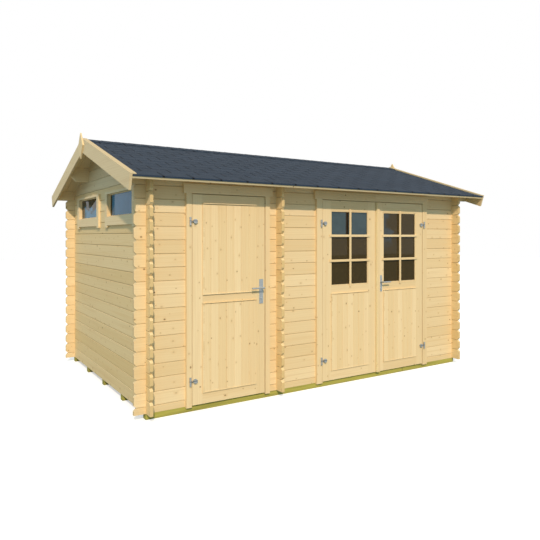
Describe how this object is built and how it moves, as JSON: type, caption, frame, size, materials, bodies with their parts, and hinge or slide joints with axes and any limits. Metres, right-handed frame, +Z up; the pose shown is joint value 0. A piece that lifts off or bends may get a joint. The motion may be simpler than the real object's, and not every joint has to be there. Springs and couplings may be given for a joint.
{
  "type": "log summerhouse",
  "caption": "Gabled log garden summerhouse with a side store, a single plank door, glazed double doors, high end windows and a shingled roof",
  "frame": {"origin": "centre of the overall footprint, at the underside of the floor bearers, which is ground level", "axes": "+X along the ridge from the store room to the main room, +Y from the door wall to the back wall, +Z up; the doors face -Y"},
  "size_m": [4.312, 3.006, 2.5348],
  "materials": {
    "timber": "planed, uncoated softwood",
    "treated_timber": "pressure treated softwood",
    "shingle": "mineral faced bitumen",
    "steel": "satin zinc",
    "glass": "clear float glass"
  },
  "bodies": {
    "building": {"bearers": "treated_timber", "floor": "timber", "front_wall_left": "timber", "front_wall_middle": "timber", "front_wall_right": "timber", "front_wall_top": "timber", "back_wall": "timber", "back_wall_top": "timber", "left_wall": "timber", "left_wall_windows": "timber", "left_gable": "timber", "partition": "timber", "right_wall": "timber", "ridge_purlin": "timber", "side_purlins": "timber", "roof_boards_front": "timber", "roof_boards_back": "timber", "shingles_front": "shingle", "shingles_back": "shingle", "ridge_cap": "shingle", "bargeboards_front": "timber", "bargeboards_back": "timber", "barge_caps_front": "timber", "barge_caps_back": "timber", "ridge_diamonds": "timber", "eave_strips": "timber", "window_frames": "timber", "window_glass": "glass", "single_door_frame": "timber", "double_door_frame": "timber", "single_hinge_pins": "steel", "double_hinge_pins": "steel"},
    "single_door": {"single_door_leaf": "timber", "single_hinge_arms": "steel", "single_door_plate": "steel"},
    "left_door": {"left_leaf": "timber", "left_leaf_glass": "glass", "left_hinge_arms": "steel"},
    "right_door": {"right_leaf": "timber", "right_leaf_glass": "glass", "right_hinge_arms": "steel", "meeting_batten": "timber", "right_leaf_plate": "steel"},
    "single_handle": {"single_door_lever": "steel"},
    "right_handle": {"right_leaf_lever": "steel"}
  },
  "joints": [
    {"name": "single_door_hinge", "type": "hinge", "parent": "building", "child": "single_door", "pos_m": [-1.548, -1.2905, 1.05], "axis": [0, 0, -1], "range_deg": [0, 110]},
    {"name": "left_door_hinge", "type": "hinge", "parent": "building", "child": "left_door", "pos_m": [-0.1327, -1.2905, 1.05], "axis": [0, 0, -1], "range_deg": [0, 110]},
    {"name": "right_door_hinge", "type": "hinge", "parent": "building", "child": "right_door", "pos_m": [1.3493, -1.2905, 1.05], "axis": [0, 0, 1], "range_deg": [0, 110]},
    {"name": "single_handle_turn", "type": "hinge", "parent": "single_door", "child": "single_handle", "pos_m": [-0.833, -1.277, 1.033], "axis": [0, -1, 0], "range_deg": [0, 40], "stiffness_Nm_per_rad": 1, "springref_deg": -20.05},
    {"name": "right_handle_turn", "type": "hinge", "parent": "right_door", "child": "right_handle", "pos_m": [0.6767, -1.277, 1.016], "axis": [0, 1, 0], "range_deg": [0, 40], "stiffness_Nm_per_rad": 1, "springref_deg": -20.05}
  ]
}
